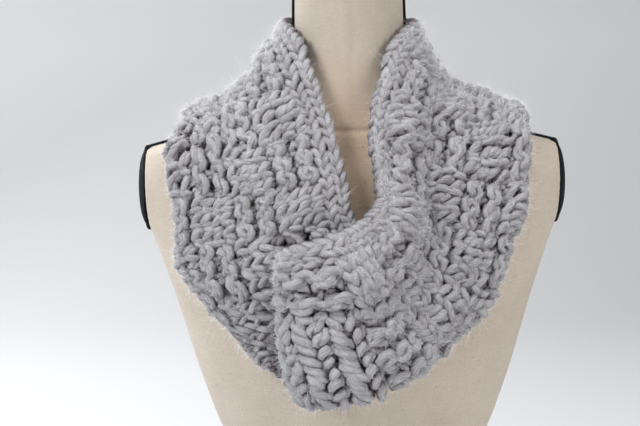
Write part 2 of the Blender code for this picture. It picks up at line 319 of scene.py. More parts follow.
def outside(points):
    """Zero on the form's skin, more outside it."""
    half_width, front, back, squareness = form_section(points[..., 2])
    across = np.abs(points[..., 0]) / half_width
    deep = np.abs(points[..., 1]) / np.where(points[..., 1] < 0, front, back)
    return (across**squareness + deep**squareness) ** (1 / squareness) - 1


def off_the_form(points):
    """The way straight out from the form at each point, and how far out the point is."""
    small = 1e-4
    slopes = []
    for axis in range(3):
        nudge = np.zeros(3)
        nudge[axis] = small
        slopes.append((outside(points + nudge) - outside(points - nudge)) / (2 * small))
    slope = np.stack(slopes, axis=-1)
    steep = np.linalg.norm(slope, axis=-1, keepdims=True)
    return slope / steep, outside(points)[..., None] / steep


def lift_off_form(points, least):
    """Points that lie nearer to the form than least are moved straight out from it."""
    for _ in range(4):
        way, height = off_the_form(points)
        points = points + way * np.maximum(least - height, 0.0)
    return points


def unit(vectors):
    """The vectors made one long."""
    return vectors / np.linalg.norm(vectors, axis=-1, keepdims=True)


def grid_corners(at):
    """The corners of a grid's quads, in the order of grid_quads, from the coordinates of its points."""
    return np.stack([at[:-1, :-1], at[1:, :-1], at[1:, 1:], at[:-1, 1:]], axis=2).reshape(-1, 4, 2)


def ring_strips(count):
    """The quads that close a ring of count points flat."""
    near = np.arange(count // 2 - 1)
    return np.stack([near, near + 1, count - 2 - near, count - 1 - near], axis=-1)


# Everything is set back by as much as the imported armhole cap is.
armhole_low, armhole_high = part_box("form_armhole_left")
CAP_CENTRE_Y = 0.003
SET_BACK = np.array([0.0, (armhole_low.y + armhole_high.y) / 2 - CAP_CENTRE_Y, 0.0])

flat_heights = [0.0]
for low, high, rings in SKIN_RINGS:
    flat_heights.extend(np.linspace(low, high, rings))
shrinks = [BASE_EDGE] + [0.0] * (len(flat_heights) - 1)
for turn in np.linspace(0, pi / 2, NECK_EDGE_RINGS)[1:]:
    flat_heights.append(FORM_TOP - NECK_EDGE * (1 - sin(turn)))
    shrinks.append(NECK_EDGE * (1 - cos(turn)))
turns = 2 * pi * (np.arange(FORM_COLUMNS)[None] + 0.5) / FORM_COLUMNS
flat_heights = np.array(flat_heights)[:, None]
shrinks = np.array(shrinks)[:, None]
# The rings by the neck seam run low in front, high at the sides and a little lower behind.
forward = np.clip(-np.sin(turns), 0, 1)
backward = np.clip(np.sin(turns), 0, 1)
lift = NECK_SEAM_RISE * (1 - forward**2) - NECK_SEAM_DIP * backward**2
heights = flat_heights + lift * np.exp(-(((flat_heights - NECK_SEAM_Z) / NECK_SEAM_SPREAD) ** 2))
half_width, front, back, squareness = form_section(heights)
across = np.abs(np.cos(turns)) ** (2 / squareness) * (half_width - shrinks)
deep = np.abs(np.sin(turns)) ** (2 / squareness) * (np.where(np.sin(turns) > 0, back, front) - shrinks)
skin = np.stack([
    np.minimum(across, ARM_CUT) * np.sign(np.cos(turns)),
    deep * np.sign(np.sin(turns)),
    heights,
], axis=-1)
# The seams are shallow grooves in the skin.
neck_seam = np.exp(-(((flat_heights - NECK_SEAM_Z) / NECK_SEAM_WIDTH) ** 2))
side_seam = np.exp(-(((skin[..., 1] - CAP_CENTRE_Y) / SIDE_SEAM_WIDTH) ** 2)) * (heights < SIDE_SEAM_TOP)
skin = skin - unit(skin * [1, 1, 0]) * (np.maximum(neck_seam, side_seam) * SEAM_DEPTH)[..., None]
# The thread of the linen is measured round one ring and up the form.
girth = skin[GIRTH_RING : GIRTH_RING + 1]
thread_u = np.cumsum(np.linalg.norm(np.diff(girth, axis=1, append=girth[:, :1]), axis=-1), axis=1)
corner_u = np.broadcast_to(np.concatenate([[[0.0]], thread_u], axis=1), (len(heights), FORM_COLUMNS + 1))
corner_v = np.concatenate([heights, heights[:, :1]], axis=1)
skin_corners = grid_corners(np.stack([corner_u, corner_v], axis=-1))[:, ::-1]
skin_quads = grid_quads(len(heights), FORM_COLUMNS, closed_columns=True)[..., ::-1].reshape(-1, 4)
# The base and the top of the neck are closed flat.
strips = ring_strips(FORM_COLUMNS)
ends = np.concatenate([strips[:, ::-1], strips + (len(heights) - 1) * FORM_COLUMNS])
skin_quads = np.concatenate([skin_quads, ends])
skin_corners = np.concatenate([skin_corners, skin.reshape(-1, 3)[ends][..., :2]])

linen, shade, shader = material("linen", Roughness=0.88, Sheen_Weight=0.15, Sheen_Roughness=0.5)
thread_at = shade.on_thread()
warp, weft = thread_at.apart()[:2]
waver = shade.noise(thread_at, 60.0) * THREAD_WAVER
warp_line = ((warp + waver) * (2 * pi / THREAD)).sine()
weft_line = ((weft + waver) * (2 * pi / THREAD)).sine()
weave = warp_line * weft_line * 0.5 + 0.5
warp_slub = shade.noise(shade.place(warp * SLUB_ACROSS, weft * SLUB_ALONG, 0.0), 1.0, 3.0, 0.7)
weft_slub = shade.noise(shade.place(warp * SLUB_ALONG, weft * SLUB_ACROSS, 7.0), 1.0, 3.0, 0.7)
cloudy = shade.noise(thread_at, 14.0, 4.0, 0.6)
speck_at = shade.place(warp * SLUB_ACROSS, weft * SPECK_ALONG, 3.0)
speck = shade.noise(speck_at, 1.0, 1.0, 0.4).ramp((0.665, 0.0), (0.73, 1.0))
tone = warp_slub * 0.30 + weft_slub * 0.40 + cloudy * 0.55 + weave * 0.06 - 0.15
cloth_colour = tone.ramp((0.25, 0.0), (0.75, 1.0)).between(LINEN_SHADED, LINEN_PALE)
# Painted warm shade: the cloth is coloured browner in the hollow of the throat and at the nape, from below
# the neck seam to a little above it.
sideways = shade.on_object().apart()[0]
in_middle = (sideways * sideways * NECK_SHADE_FADE).ramp((0.0, 1.0), (1.0, 0.0))
up_hollow = (weft - NECK_SHADE_FROM) * (1 / NECK_SHADE_HEIGHT)
neck_shade = up_hollow.ramp((0.0, 0.0), (0.3, 1.0), (0.6, 1.0), (0.95, 0.0)) * in_middle * NECK_SHADE_SHARE
cloth_colour = neck_shade.between(cloth_colour, LINEN_NECK_SHADE)
link((speck * SPECK_SHARE).between(cloth_colour, LINEN_SLUB), shader, "Base Color")
link(shade.bump(weave * 0.35 + warp_slub * 0.5 + weft_slub * 0.6, 0.0005), shader, "Normal")

torso = mesh_object("dress_form", skin + SET_BACK, skin_quads, linen, skin_corners)
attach(torso, "root")
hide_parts("form_torso")


# -----------------------------------------------------------------------------
# The armhole caps: a padded disc of black cloth over each flat arm cut, edged all round with a twisted black
# braid.
# -----------------------------------------------------------------------------

CAP_HALF_HEIGHT = 0.037
CAP_HALF_DEPTH = 0.033
CAP_CENTRE_Z = 0.507
CAP_BULGE = 0.0095
CAP_GAP = 0.0003
CAP_FULLNESS = 0.62
CAP_POLE = 0.995
CAP_HOLE = 0.05
CAP_ROUND = 96
CAP_RINGS = 14
BRAID_RADIUS = 0.0016
BRAID_OFF = 1.15
BRAID_OUT = 0.2
BRAID_TURNS = 46
BRAID_TURN_POINTS = 14
ROPE_APART = 0.52
ROPE_STRAND = 0.60
CORD_SIDES = 6
BLACK_CLOTH = (0.006, 0.0085, 0.011)
BLACK_LINT_GLINT = (0.11, 0.125, 0.13)


def square_to(ahead, up):
    """Two unit directions square to the way ahead: beside it, and over it on the side of up."""
    beside = unit(np.cross(ahead, up))
    return beside, unit(np.cross(beside, ahead))


def tube_rings(line, radius, up, sides):
    """Rings of points round a line, one at each of its points."""
    beside, over = square_to(np.gradient(line, axis=0), up)
    turns = 2 * pi * np.arange(sides) / sides
    ring = np.cos(turns)[:, None] * beside[:, None] + np.sin(turns)[:, None] * over[:, None]
    return line[:, None] + ring * radius[:, None, None]


def tubes(name, lines, radii, ups, rises, sides, finish, closed=False):
    """One mesh of many tubes with flat ends. Corners carry the length along and the turn round, and heights
    how far each point stands above the middle of what the tubes lie in."""
    points = []
    quads = []
    corners = []
    heights = []
    start = 0
    for line, radius, up, rise in zip(lines, radii, ups, rises):
        if closed:
            padded = [np.concatenate([part[-2:], part, part[:2]]) for part in (line, radius, up)]
            rings = tube_rings(*padded, sides)[2:-2]
        else:
            rings = tube_rings(line, radius, up, sides)
        count = len(line)
        points.append(rings.reshape(-1, 3))
        heights.append((rise[:, None] + radius[:, None] * np.sin(2 * pi * np.arange(sides) / sides)).ravel())
        quads.append((start + grid_quads(count, sides, closed, True)).reshape(-1, 4))
        far = np.cumsum(np.linalg.norm(np.diff(line, axis=0, append=line[:1]), axis=-1))
        far = np.concatenate([[0.0], far])[: count + closed]
        along, turn = np.meshgrid(far, np.arange(sides + 1) / sides, indexing="ij")
        corners.append(grid_corners(np.stack([along, turn], axis=-1)))
        if not closed:
            for ring, flip in ((0, 1), (count - 1, -1)):
                cap = ring_strips(sides)[:, ::flip]
                quads.append(start + ring * sides + cap)
                corners.append(np.full((len(cap), 4, 2), (far[ring], 0.5)))
        start += count * sides
    points, quads, corners, heights = [np.concatenate(part) for part in (points, quads, corners, heights)]
    return mesh_object(name, points, quads, finish, corners, heights)


black, shade, shader = material("black_braid", Roughness=0.8, Specular_IOR_Level=0.15)
object_at = shade.on_object()
# Pale specks on the black cloth: partly lint, and partly painted highlights for the glints on the braid's
# twists.
lint_and_glint = shade.noise(object_at, 900.0, 3.0, 0.7)
link(lint_and_glint.ramp((0.58, 0.0), (0.72, 1.0)).between(BLACK_CLOTH, BLACK_LINT_GLINT), shader, "Base Color")
link(shade.bump(shade.noise(object_at, 1400.0, 2.0), 0.0004), shader, "Normal")


def rope(name, line, up, radius, turns, closed):
    """A cord of two strands, twisted round a line."""
    if closed:
        ahead = np.roll(line, -1, axis=0) - np.roll(line, 1, axis=0)
    else:
        ahead = np.gradient(line, axis=0)
    beside, over = square_to(ahead, up)
    winding = np.linspace(0, 2 * pi * turns, len(line), endpoint=not closed)[:, None]
    lines = []
    for phase in (winding, winding + pi):
        lines.append(line + radius * ROPE_APART * (np.cos(phase) * beside + np.sin(phase) * over))
    thick = [np.full(len(line), radius * ROPE_STRAND)] * 2
    rises = [np.zeros(len(line))] * 2
    cord = tubes(name, lines, thick, [up] * 2, rises, CORD_SIDES, black, closed)
    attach(cord, "root")
    return cord


for side, way in (("left", -1), ("right", 1)):
    turns = 2 * pi * np.arange(CAP_ROUND) / CAP_ROUND
    slope = np.linspace(0, pi / 2 * CAP_POLE, CAP_RINGS)[:, None]
    spread = np.cos(slope) ** CAP_FULLNESS
    dome = np.stack([
        way * (ARM_CUT + CAP_GAP + CAP_BULGE * np.sin(slope) + 0 * turns),
        CAP_CENTRE_Y + spread * CAP_HALF_DEPTH * np.cos(turns),
        CAP_CENTRE_Z + spread * CAP_HALF_HEIGHT * np.sin(turns),
    ], axis=-1)
    # The flat back is closed all but a small hole in its middle.
    centre = [CAP_CENTRE_Y, CAP_CENTRE_Z]
    back = dome[:1].copy()
    back[..., 1:] = (back[..., 1:] - centre) * CAP_HOLE + centre
    dome = np.concatenate([back, dome])
    quads = grid_quads(len(dome), CAP_ROUND, closed_columns=True)
    if way > 0:
        quads = quads[..., ::-1]
    cap = mesh_object(f"armhole_cap_{side}", dome + SET_BACK, quads, black)
    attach(cap, "root")
    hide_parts(f"form_armhole_{side}")
    count = BRAID_TURNS * BRAID_TURN_POINTS
    turns = 2 * pi * np.arange(count) / count
    rim = np.stack([
        np.full(count, way * (ARM_CUT + CAP_GAP + BRAID_RADIUS * BRAID_OFF)),
        CAP_CENTRE_Y + (CAP_HALF_DEPTH + BRAID_RADIUS * BRAID_OUT) * np.cos(turns),
        CAP_CENTRE_Z + (CAP_HALF_HEIGHT + BRAID_RADIUS * BRAID_OUT) * np.sin(turns),
    ], axis=-1)
    up = np.tile([float(way), 0.0, 0.0], (count, 1))
    rope(f"armhole_braid_{side}", rim + SET_BACK, up, BRAID_RADIUS, BRAID_TURNS, True)


# -----------------------------------------------------------------------------
# The piping: a thin black twisted cord sewn on along the top of each shoulder and up the side of the neck,
# and a short tail of it under each armhole.
# -----------------------------------------------------------------------------

PIPING_RADIUS = 0.0013
PIPING_OFF = 0.0016
PIPING_Y = 0.004
PIPING_FOOT = 0.5435
PIPING_HEAD = 0.683
PIPING_LAY = 0.0045
PIPING_TURN_POINTS = 12
PIPING_SAMPLES = 400
TAIL_HEAD = 0.469
TAIL_FOOT = 0.452


def on_side(z, way):
    """A line up the side of the form, a cord's thickness off it."""
    half_width = np.minimum(form_section(z)[0], ARM_CUT) + PIPING_OFF
    beside = np.stack([way * half_width, np.full(len(z), PIPING_Y), z], axis=-1)
    return lift_off_form(beside, PIPING_OFF)


for side, way in (("left", -1), ("right", 1)):
    for part, foot, head in (("piping", PIPING_FOOT, PIPING_HEAD), ("armhole_tail", TAIL_FOOT, TAIL_HEAD)):
        z = foot + (head - foot) * np.linspace(0, 1, PIPING_SAMPLES) ** 2
        line = on_side(z, way)
        if part == "armhole_tail":
            line[:, 0] = way * np.minimum(np.abs(line[:, 0]), ARM_CUT + PIPING_OFF)
        step = np.linalg.norm(np.diff(line, axis=0), axis=-1)
        far = np.concatenate([[0.0], np.cumsum(step)])
        even = np.linspace(0, far[-1], int(far[-1] / PIPING_LAY * PIPING_TURN_POINTS))
        line = np.stack([np.interp(even, far, line[:, axis]) for axis in range(3)], axis=-1)
        up = np.tile([0.0, 1.0, 0.0], (len(line), 1))
        cord = rope(f"{part}_{side}", line + SET_BACK, up, PIPING_RADIUS, far[-1] / PIPING_LAY, False)
        if part == "piping":
            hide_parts(f"form_piping_{side}")


# -----------------------------------------------------------------------------
# The lie of the scarf: one closed loop of cloth over the shoulders, that doubles back on itself at the
# front. Sections across the loop give its neck edge, middle and hem; all the yarn follows the surface
# that runs through them.
# -----------------------------------------------------------------------------

MILLIMETRE = 0.001
COLUMNS = 22
STITCHES_IN_BLOCK = 3
ROWS_IN_BLOCK = 4
BAND_ROWS = 2
BLOCK_ROWS = 3
HEM_ROWS = 2
FOLD_COLUMNS = (10, 14)
ROWS = BAND_ROWS + BLOCK_ROWS * ROWS_IN_BLOCK + HEM_ROWS
STITCHES = COLUMNS * STITCHES_IN_BLOCK
REST = 0.0052
OVER_PIPING = 0.0040
PIPING_REACH = 0.022
TURN = 0.0060
PILLOW = 0.0042
BAND_RISE = 0.0022
RIDGE = 0.0018
FINE_COLUMN = 24
FINE_ROW = 6
ALONG_STEP = 3
FLAT_POINTS = 61
TUCK_POINTS = 25

# Where the neck edge rolls over, the cloth rises in a crest and sinks in a hollow below it, as shares of the
# way down the cloth.
CREST_AT = 0.20
CREST_SPREAD = 0.11
HOLLOW_AT = 0.40
HOLLOW_SPREAD = 0.08
HOLLOW_SHARE = 0.55

# The cloth is thinner where the fold lies on it, and in the turn of the hem.
UNDER_FOLD = 9.6
UNDER_FOLD_REACH = 1.6
UNDER_FOLD_EASE = 1.5
UNDER_FOLD_THINNER = 0.4
HEM_TURN = 0.82
HEM_TURN_EASE = 0.10
HEM_THINNER = 0.12

# The sections, in millimetres: where the neck edge, the middle and the hem lie, how far the edge rolls over
# and how much of the hem turns under.
Section = namedtuple("Section", "column neck middle hem roll tuck")
SECTIONS = [
    Section(0, (-10, 60, 656), (-2, 94, 594), (0, 114, 520), 0, 8),  # back
    Section(1, (-44, 44, 656), (-44, 82, 600), (-46, 112, 526), 0, 8),  # back, left
    Section(2, (-57, 6, 653), (-71, 46, 606), (-92, 100, 536), 0, 8),  # neck, left
    Section(3, (-47, -34, 641), (-90, 0, 602), (-130, 68, 556), 0, 8),  # shoulder, left
    Section(4, (-35, -54, 606), (-86, -44, 584), (-140, 28, 567), 0, 8),  # shoulder, left
    Section(5, (-23, -69, 571), (-83, -78, 547), (-142, -24, 557), 0, 8),  # collar bone, left
    Section(6, (-11, -94, 525), (-77, -98, 511), (-143, -66, 506), 0, 8),  # chest, left
    Section(7, (-3, -111, 490), (-76, -109, 474), (-143, -80, 466), 0, 8),  # chest, left
    Section(8, (18, -116, 462), (-64, -124, 428), (-130, -92, 430), 0, 8),  # bust, left
    Section(9.1, (28, -118, 442), (-8, -131, 394), (-88, -117, 386), 0, 8),  # inner turn
    Section(9.4, (26, -128, 443), (-8, -141, 396), (-78, -122, 378), 0, 8),  # inner turn
    Section(10, (0, -134, 450), (-24, -143, 402), (-61, -130, 366), 0, 8),  # under the fold
    Section(10.84, (-58, -137, 464), (-56, -146, 407), (-52, -144, 356), 2, 6),  # fold's edge
    Section(11.16, (-58, -148, 468), (-57, -158, 407), (-46, -158, 355), 4, 10),  # fold's edge
    Section(12, (-22, -153, 479), (4, -167, 408), (21, -160, 360), 6, 24),  # front of the fold
    Section(13, (3, -146, 490), (36, -152, 407), (73, -132, 391), 8, 12),  # end of the fold
    Section(14, (18, -126, 505), (63, -123, 449), (112, -106, 429), 12, 8),  # bust, right
    Section(15, (18, -106, 530), (69, -108, 487), (127, -94, 470), 14, 8),  # chest, right
    Section(16, (16, -84, 560), (73, -91, 527), (139, -73, 511), 12, 8),  # chest, right
    Section(17, (24, -62, 597), (77, -66, 568), (143, -38, 551), 8, 8),  # collar bone, right
    Section(18, (36, -44, 632), (81, -32, 590), (141, 10, 565), 4, 8),  # shoulder, right
    Section(19, (54, -12, 650), (81, 12, 601), (127, 54, 560), 0, 8),  # shoulder, right
    Section(20, (55, 25, 653), (72, 52, 606), (98, 94, 540), 0, 8),  # neck, right
    Section(21, (30, 54, 656), (43, 86, 600), (52, 112, 524), 0, 8),  # back, right
]

# Each stretch runs from one section's number to another's. Its cut is its width and its length along the
# loop.
Stretch = namedtuple("Stretch", "first last cut_width cut_length")
STRETCHES = {
    "back": Stretch(-3, 3, 0.155, 0.276),
    "left_front": Stretch(3, 8.5, 0.160, 0.264),
    "under_fold": Stretch(8.5, 11, 0.133, 0.097),
    "front_fold": Stretch(11, 13, 0.147, 0.106),
    "right_front": Stretch(13, 19, 0.152, 0.275),
}


def around_loop(places, knots, u):
    """The smooth closed curve through the knots, which lie at the given places round the loop."""
    count = len(knots)
    span = np.diff(np.append(places, places[0] + COLUMNS))
    rise = (np.roll(knots, -1, axis=0) - knots) / span[:, None]
    bend = np.zeros((count, count))
    for k in range(count):
        bend[k, k - 1] = span[k - 1]
        bend[k, k] = 2 * (span[k - 1] + span[k])
        bend[k, (k + 1) % count] = span[k]
    curve = np.linalg.solve(bend, 6 * (rise - np.roll(rise, 1, axis=0)))
    at = u % COLUMNS
    k = np.searchsorted(places, at, side="right") - 1
    after = (k + 1) % count
    width = span[k, None]
    t = (at - places[k])[:, None] / width
    line = knots[k] * (1 - t) + knots[after] * t
    return line + width**2 / 6 * (curve[k] * ((1 - t) ** 3 - (1 - t)) + curve[after] * (t**3 - t))


def cloth_middle(columns, rows):
    """The middle of the cloth on a grid: columns count blocks, rows run from 0 to 1, neck edge to hem."""
    knots = np.array([[*s.neck, *s.middle, *s.hem, s.roll, s.tuck] for s in SECTIONS]) * MILLIMETRE
    places = np.array([s.column for s in SECTIONS])
    found = around_loop(places, knots, columns)[:, None]
    neck, middle, hem, roll, tuck = np.split(found, [3, 6, 9, 10], axis=-1)
    t = np.linspace(0, 1, FLAT_POINTS)[:, None]
    flat = neck * (1 - t) * (1 - 2 * t) + middle * 4 * t * (1 - t) + hem * t * (2 * t - 1)
    crest = np.exp(-(((t - CREST_AT) / CREST_SPREAD) ** 2))
    hollow = HOLLOW_SHARE * np.exp(-(((t - HOLLOW_AT) / HOLLOW_SPREAD) ** 2))
    flat = flat + off_the_form(flat)[0] * roll * (crest - hollow)
    depth = TURN * (1 - np.cos(np.minimum(tuck / TURN, pi)))
    over_piping = OVER_PIPING * np.exp(-(((flat[..., 1:2] - PIPING_Y) / PIPING_REACH) ** 2))
    flat = lift_off_form(flat, REST + over_piping + depth * t**3)
    # The hem turns in on itself, and then runs back under the cloth.
    end = unit(flat[:, -1:] - flat[:, -2:-1])
    inward = -off_the_form(flat[:, -1:])[0]
    inward = unit(inward - end * (inward * end).sum(-1, keepdims=True))
    run = np.linspace(0, 1, TUCK_POINTS)[1:, None] * tuck
    turn = np.minimum(run / TURN, pi)
    back = run - turn * TURN
    under = flat[:, -1:] + end * (TURN * np.sin(turn) - back) + inward * TURN * (1 - np.cos(turn))
    line = np.concatenate([flat, under], axis=1)
    pieces = np.linalg.norm(np.diff(line, axis=1), axis=-1)
    length = np.concatenate([0 * tuck[..., 0], np.cumsum(pieces, axis=1)], axis=1)
    even = []
    for k in range(len(columns)):
        even.append([np.interp(rows * length[k, -1], length[k], line[k, :, axis]) for axis in range(3)])
    return np.array(even).transpose(0, 2, 1)


lie = cloth_middle(np.arange(COLUMNS * FINE_COLUMN) / FINE_COLUMN, np.linspace(0, 1, ROWS * FINE_ROW + 1))
lie_along = np.roll(lie, -ALONG_STEP, axis=0) - np.roll(lie, ALONG_STEP, axis=0)
lie_down = np.gradient(lie, axis=1)
lie_out = unit(np.cross(lie_down, lie_along))


def look_up(table, u, row):
    """A table of the lie, read between its points. Past an edge it runs straight on."""
    at = (u % COLUMNS) * FINE_COLUMN
    i = np.floor(at).astype(int)
    across = (at - i)[..., None]
    i, after = i % len(table), (i + 1) % len(table)
    j = np.clip(np.floor(row * FINE_ROW).astype(int), 0, ROWS * FINE_ROW - 1)
    down = (row * FINE_ROW - j)[..., None]
    near = table[i, j] * (1 - down) + table[i, j + 1] * down
    far = table[after, j] * (1 - down) + table[after, j + 1] * down
    return near * (1 - across) + far * across


def pressed(u, row):
    """The share of its thickness that the cloth keeps: less under the fold and in the turn of the hem."""
    inside = UNDER_FOLD_EASE * (UNDER_FOLD_REACH - np.abs(u % COLUMNS - UNDER_FOLD))
    under_fold = 1 - UNDER_FOLD_THINNER * np.clip(inside, 0, 1)
    in_hem = 1 - HEM_THINNER * np.clip((row / ROWS - HEM_TURN) / HEM_TURN_EASE, 0, 1)
    return under_fold * in_hem


def is_plain(stitch, row):
    """True for a stitch in a block of plain knitting, false for one in a block of ridges. On the fold the
    second tier of blocks runs on to the hem."""
    column = np.floor(stitch / STITCHES_IN_BLOCK).astype(int) % COLUMNS
    on_fold = (column > FOLD_COLUMNS[0]) & (column < FOLD_COLUMNS[1])
    tier = np.floor((row - BAND_ROWS) / ROWS_IN_BLOCK).astype(int)
    tier = np.minimum(tier, np.where(on_fold, 1, BLOCK_ROWS))
    return (column + tier) % 2 == 0


def puff(u, row):
    """How far the cloth stands out: a plain block as a pillow, the others in two ridges each, and the neck
    band as a roll."""
    column = np.floor(u)
    tier = np.floor((row - BAND_ROWS) / ROWS_IN_BLOCK)
    across = u - column
    down = (row - BAND_ROWS) / ROWS_IN_BLOCK - tier
    plain = is_plain(column * STITCHES_IN_BLOCK, row)
    rise = PILLOW * np.sqrt(np.maximum(np.sin(pi * across) * np.sin(pi * down), 0.0))
    ridge = -RIDGE * np.cos(pi * row)
    band = BAND_RISE * np.sin(pi * np.clip(row / BAND_ROWS, 0, 1))
    return np.where(row < BAND_ROWS, band, np.where(plain, rise, ridge)) * pressed(u, row)


def on_cloth(u, row, height):
    """Points over the cloth, at a height above its middle."""
    return look_up(lie, u, row) + look_up(lie_out, u, row) * height[..., None] + SET_BACK


# -----------------------------------------------------------------------------
# The ground of the knitting: a thin wall in the middle of the cloth, one for each stretch of the loop, that
# closes the gaps between the strands. It stands for the yarn behind them; its dark colour is painted shade.
# -----------------------------------------------------------------------------

GROUND_COLUMN = 10
GROUND_ROW = 3
GROUND_INSET = 0.15
GROUND_UP = -0.0012
GROUND_DOWN = -0.0028
GROUND_DOWN_SHARE = 0.6
GROUND_SHADE_DARK = (0.060, 0.054, 0.052)
GROUND_SHADE_PALE = (0.17, 0.16, 0.16)
PART_GAP = 0.004

# Painted shade: the ground is coloured far darker than the yarn, for the shadow in the gaps between the
# strands.
ground_shade, shade, shader = material("shaded_ground", Roughness=0.95, Sheen_Weight=0.3, Sheen_Roughness=0.6)
ground_tone = shade.noise(shade.on_object(), 260.0, 5.0, 0.7)
link(ground_tone.ramp((0.35, 0.0), (0.65, 1.0)).between(GROUND_SHADE_DARK, GROUND_SHADE_PALE), shader, "Base Color")
link(shade.bump(ground_tone, 0.0015), shader, "Normal")


def ground(name, part):
    """The closed wall of the ground in one stretch of the loop, coloured dark as painted shade."""
    columns = round((part.last - part.first) * GROUND_COLUMN) + 1
    around = np.linspace(part.first + PART_GAP, part.last - PART_GAP, columns)
    down = np.linspace(GROUND_INSET, ROWS - GROUND_INSET, ROWS * GROUND_ROW + 1)
    u, row = np.meshgrid(around, down, indexing="ij")
    rise = puff(u, row)
    upper = on_cloth(u, row, GROUND_UP + rise)
    lower = on_cloth(u, row, GROUND_DOWN + rise * GROUND_DOWN_SHARE)
    rows = len(down)
    base = columns * rows
    face = grid_quads(columns, rows).reshape(-1, 4)
    quads = [face[:, ::-1], base + face]
    for j, flip in ((0, 1), (rows - 1, -1)):
        i = np.arange(columns - 1) * rows + j
        rim = np.stack([i, i + rows, base + i + rows, base + i], axis=-1)
        quads.append(rim[:, ::flip])
    for i, flip in ((0, -1), (columns - 1, 1)):
        j = i * rows + np.arange(rows - 1)
        rim = np.stack([j, j + 1, base + j + 1, base + j], axis=-1)
        quads.append(rim[:, ::flip])
    points = np.concatenate([upper.reshape(-1, 3), lower.reshape(-1, 3)])
    made = mesh_object(name, points, np.concatenate(quads), ground_shade)
    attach(made, "root")
    return made


# -----------------------------------------------------------------------------
# The knitting: super-bulky yarn of two soft plies, twisted loosely round each other. A row is one yarn that
# loops through the row below it. Plain stitches bring their legs to the front, and purl stitches their head
# and foot.
# -----------------------------------------------------------------------------

STRAND = 0.00255
STRANDS_APART = 0.0020
PLY_LAY = 0.042
FLAP_LAY = 0.036
FLAP_FATTER = 0.13
FLAP_MIDDLE = 12.3
FLAP_REACH = 2
LOOP_POINTS = 17
BLOCK_EDGE_POINTS = 6
PURL_EDGE_POINTS = 3
LEAST_POINTS = 3
YARN_SIDES = 6
LOOP_DEPTH = 0.0040
WOOL_PALE = (0.588, 0.585, 0.605)
WOOL_DEEP = (0.225, 0.211, 0.228)
WOOL_SHADED = (0.086, 0.063, 0.07)
SHADED_BELOW = -0.0002
CLEAR_ABOVE = 0.0050
FIBRE_TWIST = 160.0
FIBRE_ROUND = 2.2
FIBRE_ALONG = 110.0

# The shape of a loop, in stitches across and rows down. Plain stitches lean, but stand evenly round the
# fold, and ridges have wide round ends.
Loop = namedtuple("Loop", "waist lean reach")
PLAIN_LOOP = Loop(0.23, 0.46, 0.90)
RIDGE_LOOP = Loop(0.26, 0.26, 0.74)
EVEN_MIDDLE = 10.4
EVEN_HALF_WIDTH = 4.3
EVEN_WAIST = 0.05
RIDGE_OUT = 0.30
RIDGE_POINT = 0.20
SWELL = 0.30
RISE_SHARE = 0.6

# How the stitches differ from each other, as in hand knitting: over how many points, and by how much.
WAIST_WANDER = (24, 0.12)
LEAN_WANDER = (30, 0.06)
PLAIN_LEAN_WANDER = (160, 0.10)
REACH_WANDER = (24, 0.06)
ACROSS_WANDER = (30, 0.05)
DOWN_WANDER = (20, 0.06)
TWIST_WANDER = (18, 0.4)
DRIFT_WANDER = (12, 0.00035)
THICKNESS_WANDER = (14, 0.08)

# Painted light and shade: for its colour, yarn on the turned edge of the fold counts as standing out more
# than it does, a painted highlight, and yarn in the corner behind the fold as lying deeper, a painted
# shadow.
FOLD_TURN = 10.75
FOLD_TURN_SPREAD = 0.4
FOLD_LIGHT = 0.0018
CORNER_COLUMNS = (7, 10.9)
CORNER_HEIGHTS = (0.345, 0.478)
CORNER_X = -0.056
CORNER_SPREAD = 0.015
CORNER_SHADE = 0.0055

rng = np.random.default_rng(7)

wool, shade, shader = material("grey_wool", Roughness=0.95, Sheen_Weight=0.2, Sheen_Roughness=0.6)
along, round_it = shade.on_thread().apart()[:2]
object_at = shade.on_object()
turned = round_it * (2 * pi) + along * FIBRE_TWIST
fibre_at = shade.place(turned.cosine() * FIBRE_ROUND, turned.sine() * FIBRE_ROUND, along * FIBRE_ALONG)
fibre = shade.noise(fibre_at, 1.3, 4.0, 0.7)
cloudy = shade.noise(object_at, 55.0, 3.0, 0.6)
fluff = shade.noise(object_at, 700.0, 3.0, 0.7)
tone = fibre + cloudy * 0.35 + fluff * 0.25 - 0.30
# Painted shade: yarn that lies deeper in the cloth, and the lower ply of each pair, is coloured darker, down
# to WOOL_SHADED.
height = shade.node("Attribute", {"attribute_name": "height"}, out=2)
stands_out = (height - SHADED_BELOW) * (1 / (CLEAR_ABOVE - SHADED_BELOW))
unshaded = stands_out.ramp((0.0, 0.05), (0.5, 0.48), (1.0, 1.0))
wool_colour = tone.ramp((0.25, 0.0), (0.72, 1.0)).between(WOOL_DEEP, WOOL_PALE)
link(unshaded.between(WOOL_SHADED, wool_colour), shader, "Base Color")
link(shade.bump(fibre + fluff * 0.3, 0.0022), shader, "Normal")


def smooth_round(values, width):
    """Values round a closed row, each made the mean of its neighbours within width points."""
    spread = np.hanning(2 * width + 1)
    spread = spread / spread.sum()
    wrapped = np.concatenate([values[-width:], values, values[:width]])
    return np.convolve(wrapped, spread, mode="valid")


def wander(count, width, size):
    """Slow random wandering round a closed row, of about the given size."""
    drawn = smooth_round(rng.standard_normal(count), width)
    return drawn / drawn.std() * size


